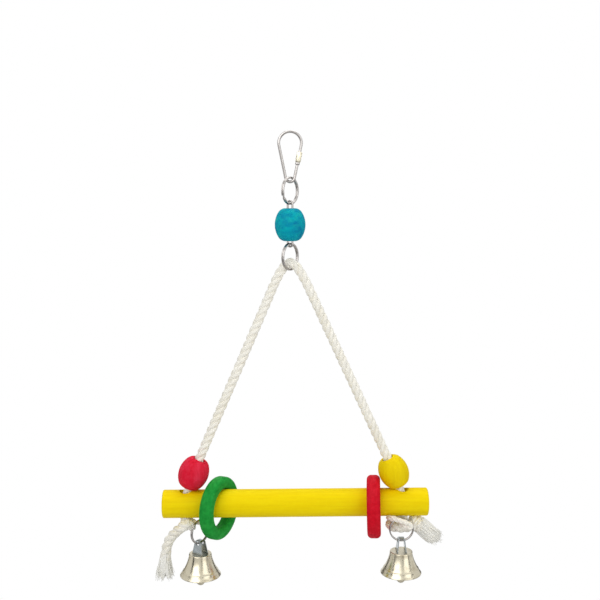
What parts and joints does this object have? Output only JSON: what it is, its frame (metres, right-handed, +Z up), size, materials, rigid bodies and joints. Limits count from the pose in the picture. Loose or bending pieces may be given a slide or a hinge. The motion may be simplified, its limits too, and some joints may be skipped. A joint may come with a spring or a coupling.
{
  "type": "bird swing",
  "caption": "Hanging bird swing: wooden perch on a rope triangle below a quick link, with dyed beads, loose wooden rings and small bells.",
  "frame": {"origin": "inside of the quick link's top bow, where the swing hangs", "axes": "+X along the perch, +Y away from the front, +Z up along the hanging line"},
  "size_m": [0.1701, 0.036, 0.2602],
  "materials": {
    "nickel_wire": "bright nickel plate",
    "sleeve_nickel": "warm nickel plate",
    "turquoise_wood": "dyed wood, satin",
    "red_wood": "dyed wood, satin",
    "yellow_wood": "dyed wood, satin",
    "green_wood": "dyed wood, satin",
    "cotton_rope": "three strand twisted cotton",
    "bell_nickel": "bright nickel plate"
  },
  "bodies": {
    "hanging_link": {"link_wire": "nickel_wire"},
    "sleeve_nut": {"sleeve_nut": "sleeve_nickel"},
    "upper_split_ring": {"upper_split_ring": "nickel_wire"},
    "bead_link": {"bead_link": "nickel_wire"},
    "turquoise_bead": {"turquoise_bead": "turquoise_wood"},
    "lower_split_ring": {"lower_split_ring": "nickel_wire"},
    "swing": {"perch": "yellow_wood", "rope_span": "cotton_rope", "left_knot": "cotton_rope", "right_knot": "cotton_rope", "left_tail": "cotton_rope", "right_tail": "cotton_rope"},
    "red_bead": {"red_bead": "red_wood"},
    "yellow_bead": {"yellow_bead": "yellow_wood"},
    "green_ring": {"green_ring": "green_wood"},
    "red_ring": {"red_ring": "red_wood"},
    "left_bell_ring": {"left_bell_ring": "nickel_wire"},
    "left_bell": {"left_bell_shell": "bell_nickel", "left_bell_hanger": "bell_nickel"},
    "left_clapper": {"left_clapper_wire": "bell_nickel", "left_clapper_ball": "bell_nickel"},
    "right_bell_ring": {"right_bell_ring": "nickel_wire"},
    "right_bell": {"right_bell_shell": "bell_nickel", "right_bell_hanger": "bell_nickel"},
    "right_clapper": {"right_clapper_wire": "bell_nickel", "right_clapper_ball": "bell_nickel"}
  },
  "joints": [
    {"name": "sleeve_nut_travel", "type": "slide", "parent": "hanging_link", "child": "sleeve_nut", "axis": [0.2021, 0, 0.9794], "range_m": [0, 0.0034]},
    {"name": "upper_ring_swing", "type": "hinge", "parent": "hanging_link", "child": "upper_split_ring", "pos_m": [0, 0, -0.0244], "axis": [1, 0, 0], "range_deg": [-20, 20]},
    {"name": "bead_link_swing", "type": "hinge", "parent": "upper_split_ring", "child": "bead_link", "pos_m": [0, 0, -0.0389], "axis": [0.5736, 0.8192, 0], "range_deg": [-30, 30]},
    {"name": "turquoise_bead_spin", "type": "hinge", "parent": "bead_link", "child": "turquoise_bead", "pos_m": [0, 0, -0.05054], "axis": [0, 0, 1], "continuous": true},
    {"name": "lower_ring_swing", "type": "hinge", "parent": "bead_link", "child": "lower_split_ring", "pos_m": [0, 0, -0.06119], "axis": [0.8192, -0.5736, 0], "range_deg": [-25, 25]},
    {"name": "swing_rock", "type": "hinge", "parent": "lower_split_ring", "child": "swing", "pos_m": [0, 0, -0.07569], "axis": [0.5736, 0.8192, 0], "range_deg": [-12, 12]},
    {"name": "red_bead_slide", "type": "slide", "parent": "swing", "child": "red_bead", "axis": [0.3927, 0, 0.9196], "range_m": [0, 0.1]},
    {"name": "yellow_bead_slide", "type": "slide", "parent": "swing", "child": "yellow_bead", "axis": [-0.4184, 0, 0.9083], "range_m": [0, 0.1]},
    {"name": "green_ring_slide", "type": "slide", "parent": "swing", "child": "green_ring", "axis": [1, 0, 0], "range_m": [0, 0.026]},
    {"name": "red_ring_slide", "type": "slide", "parent": "swing", "child": "red_ring", "axis": [1, 0, 0], "range_m": [-0.04, 0]},
    {"name": "left_bell_ring_swing", "type": "hinge", "parent": "swing", "child": "left_bell_ring", "pos_m": [-0.05216, -0.00313, -0.2228], "axis": [-0.766, 0.6428, 0], "range_deg": [-25, 25]},
    {"name": "left_bell_swing", "type": "hinge", "parent": "left_bell_ring", "child": "left_bell", "pos_m": [-0.05216, -0.00313, -0.2332], "axis": [0.6428, 0.766, 0], "range_deg": [-28, 28]},
    {"name": "left_clapper_swing", "type": "hinge", "parent": "left_bell", "child": "left_clapper", "pos_m": [-0.05216, -0.00313, -0.2421], "axis": [0.6428, 0.766, 0], "range_deg": [-24, 24]},
    {"name": "right_bell_ring_swing", "type": "hinge", "parent": "swing", "child": "right_bell_ring", "pos_m": [0.0638, -0.0058, -0.2216], "axis": [0, 1, 0], "range_deg": [-25, 25]},
    {"name": "right_bell_swing", "type": "hinge", "parent": "right_bell_ring", "child": "right_bell", "pos_m": [0.0638, -0.0058, -0.232], "axis": [1, 0, 0], "range_deg": [-28, 28]},
    {"name": "right_clapper_swing", "type": "hinge", "parent": "right_bell", "child": "right_clapper", "pos_m": [0.0638, -0.0058, -0.2409], "axis": [1, 0, 0], "range_deg": [-24, 24]}
  ]
}
